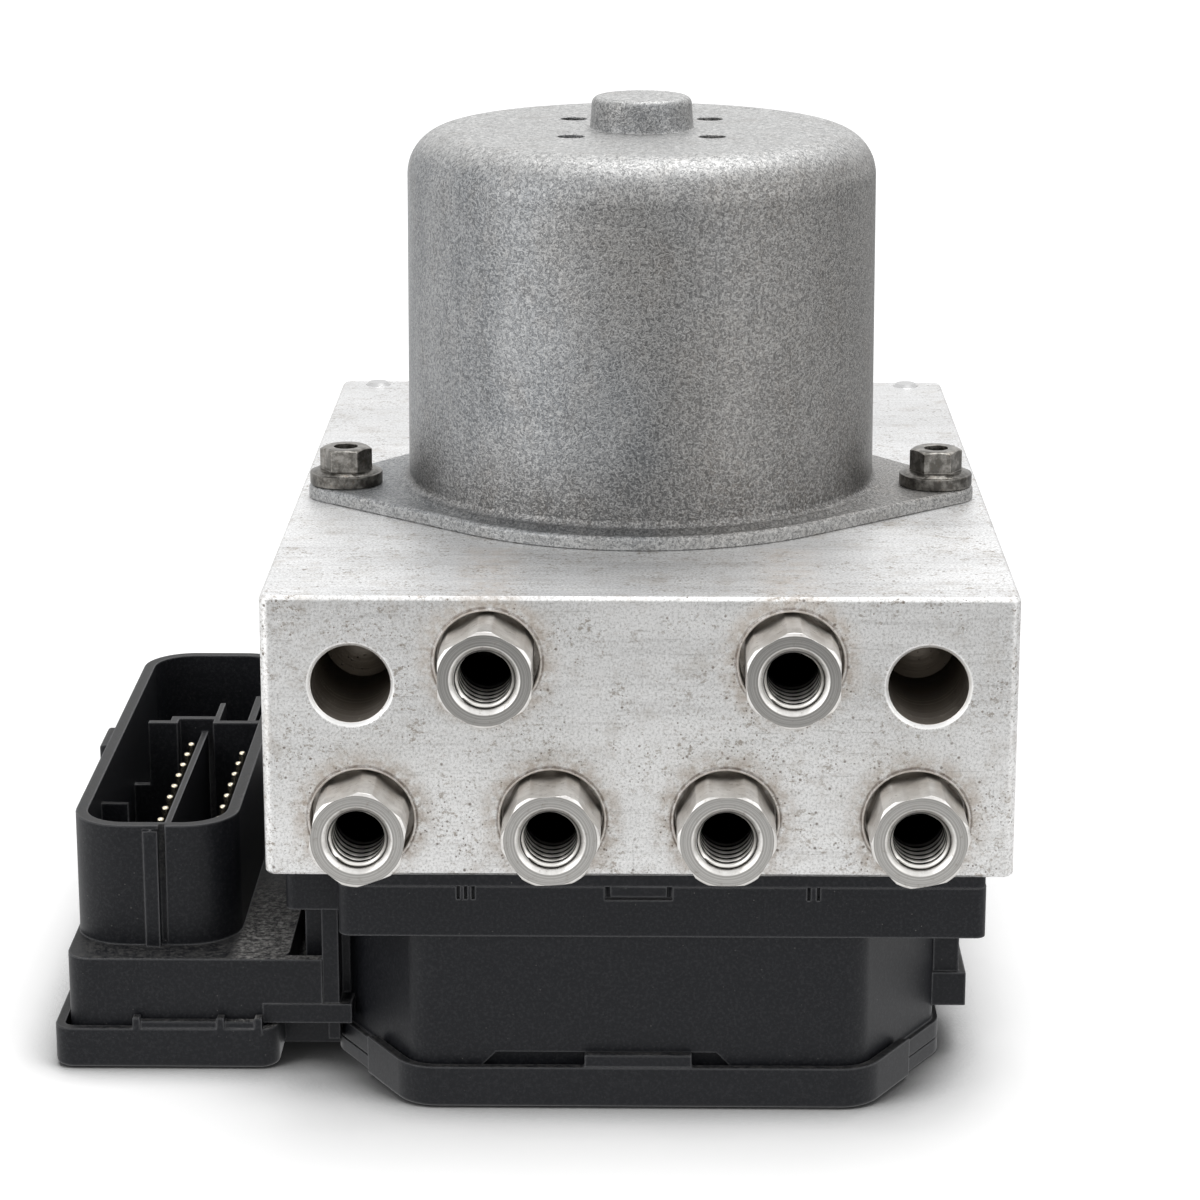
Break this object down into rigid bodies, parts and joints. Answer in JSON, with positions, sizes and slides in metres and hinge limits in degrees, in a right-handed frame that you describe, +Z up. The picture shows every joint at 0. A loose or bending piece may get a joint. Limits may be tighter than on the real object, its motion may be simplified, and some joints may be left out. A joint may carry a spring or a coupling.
{
  "type": "abs brake module",
  "caption": "Hydraulic brake control unit: machined valve block with threaded pipe fittings, round pump motor on top and moulded electronics housing with a side connector.",
  "frame": {"origin": "where the pump motor's axis meets the plane of the electronics cover's underside", "axes": "+Z up along the motor's axis, -Y out of the face with the pipe fittings, +X to the right seen from that face"},
  "size_m": [0.1449, 0.1618, 0.1425],
  "materials": {
    "block_aluminium": "machined, lightly pitted",
    "can_steel": "zinc-plated, mottled satin",
    "fitting_nickel": "turned and plated",
    "screw_steel": "dark plated",
    "bright_steel": "ground",
    "plug_steel": "turned",
    "spring_steel": "bright drawn",
    "accumulator_alloy": "anodised",
    "valve_steel": "turned",
    "housing_plastic": "satin glass-filled",
    "gasket_rubber": "matte",
    "board_laminate": "satin",
    "contact_brass": "tinned",
    "coil_plastic": "matte",
    "copper": "enamelled",
    "core_iron": "laminated",
    "ferrite": "matte",
    "carbon": "matte"
  },
  "bodies": {
    "module": {"valve_block": "block_aluminium", "passage_plugs": "bright_steel", "motor_can": "can_steel", "motor_screws": "screw_steel", "magnet_left": "ferrite", "magnet_right": "ferrite", "upper_bearing": "bright_steel", "lower_bearing": "bright_steel", "brush_plate": "coil_plastic", "brush_spring_left": "spring_steel", "brush_spring_right": "spring_steel", "pump_spring_left": "spring_steel", "pump_spring_right": "spring_steel", "pump_plug_left": "plug_steel", "pump_plug_right": "plug_steel", "accumulator_spring_left": "spring_steel", "accumulator_spring_right": "spring_steel", "accumulator_cap_left": "plug_steel", "accumulator_cap_right": "plug_steel", "ecu_housing": "housing_plastic", "ecu_cover": "housing_plastic", "ecu_gasket": "gasket_rubber", "ecu_screws": "screw_steel", "circuit_board": "board_laminate", "connector_pins": "contact_brass", "solenoid_coils": "coil_plastic", "port_fitting_1": "fitting_nickel", "port_fitting_2": "fitting_nickel", "port_fitting_3": "fitting_nickel", "port_fitting_4": "fitting_nickel", "port_fitting_5": "fitting_nickel", "port_fitting_6": "fitting_nickel", "valve_body_1": "valve_steel", "valve_body_2": "valve_steel", "valve_body_3": "valve_steel", "valve_body_4": "valve_steel", "valve_body_5": "valve_steel", "valve_body_6": "valve_steel", "valve_body_7": "valve_steel", "valve_body_8": "valve_steel"},
    "rotor": {"motor_shaft": "bright_steel", "armature_core": "core_iron", "armature_winding": "copper", "commutator": "copper"},
    "eccentric": {"eccentric_ring": "bright_steel"},
    "pump_left": {"pump_piston_left": "bright_steel"},
    "accumulator_left": {"accumulator_piston_left": "accumulator_alloy"},
    "brush_left": {"brush_left": "carbon"},
    "pump_right": {"pump_piston_right": "bright_steel"},
    "accumulator_right": {"accumulator_piston_right": "accumulator_alloy"},
    "brush_right": {"brush_right": "carbon"},
    "plunger_1": {"valve_plunger_1": "valve_steel"},
    "plunger_2": {"valve_plunger_2": "valve_steel"},
    "plunger_3": {"valve_plunger_3": "valve_steel"},
    "plunger_4": {"valve_plunger_4": "valve_steel"},
    "plunger_5": {"valve_plunger_5": "valve_steel"},
    "plunger_6": {"valve_plunger_6": "valve_steel"},
    "plunger_7": {"valve_plunger_7": "valve_steel"},
    "plunger_8": {"valve_plunger_8": "valve_steel"}
  },
  "joints": [
    {"name": "shaft_spin", "type": "hinge", "parent": "module", "child": "rotor", "pos_m": [0, 0, 0.1], "axis": [0, 0, 1], "continuous": true},
    {"name": "ring_turn", "type": "hinge", "parent": "rotor", "child": "eccentric", "pos_m": [0, 0.00125, 0.06], "axis": [0, 0, 1], "continuous": true},
    {"name": "pump_left_stroke", "type": "slide", "parent": "module", "child": "pump_left", "axis": [1, 0, 0], "range_m": [0, 0.00125], "deforming": ["pump_spring_left"]},
    {"name": "accumulator_left_fill", "type": "slide", "parent": "module", "child": "accumulator_left", "axis": [-1, 0, 0], "range_m": [0, 0.008], "deforming": ["accumulator_spring_left"]},
    {"name": "brush_left_retract", "type": "slide", "parent": "module", "child": "brush_left", "axis": [-1, 0, 0], "range_m": [0, 0.003], "deforming": ["brush_spring_left"]},
    {"name": "pump_right_stroke", "type": "slide", "parent": "module", "child": "pump_right", "axis": [-1, 0, 0], "range_m": [0, 0.00125], "deforming": ["pump_spring_right"]},
    {"name": "accumulator_right_fill", "type": "slide", "parent": "module", "child": "accumulator_right", "axis": [1, 0, 0], "range_m": [0, 0.008], "deforming": ["accumulator_spring_right"]},
    {"name": "brush_right_retract", "type": "slide", "parent": "module", "child": "brush_right", "axis": [1, 0, 0], "range_m": [0, 0.003], "deforming": ["brush_spring_right"]},
    {"name": "valve_1_lift", "type": "slide", "parent": "module", "child": "plunger_1", "axis": [0, 0, 1], "range_m": [0, 0.0003]},
    {"name": "valve_2_lift", "type": "slide", "parent": "module", "child": "plunger_2", "axis": [0, 0, 1], "range_m": [0, 0.0003]},
    {"name": "valve_3_lift", "type": "slide", "parent": "module", "child": "plunger_3", "axis": [0, 0, 1], "range_m": [0, 0.0003]},
    {"name": "valve_4_lift", "type": "slide", "parent": "module", "child": "plunger_4", "axis": [0, 0, 1], "range_m": [0, 0.0003]},
    {"name": "valve_5_lift", "type": "slide", "parent": "module", "child": "plunger_5", "axis": [0, 0, 1], "range_m": [0, 0.0003]},
    {"name": "valve_6_lift", "type": "slide", "parent": "module", "child": "plunger_6", "axis": [0, 0, 1], "range_m": [0, 0.0003]},
    {"name": "valve_7_lift", "type": "slide", "parent": "module", "child": "plunger_7", "axis": [0, 0, 1], "range_m": [0, 0.0003]},
    {"name": "valve_8_lift", "type": "slide", "parent": "module", "child": "plunger_8", "axis": [0, 0, 1], "range_m": [0, 0.0003]}
  ],
  "couplings": [
    {"joint": "ring_turn", "follows": "shaft_spin", "ratio": -1}
  ]
}
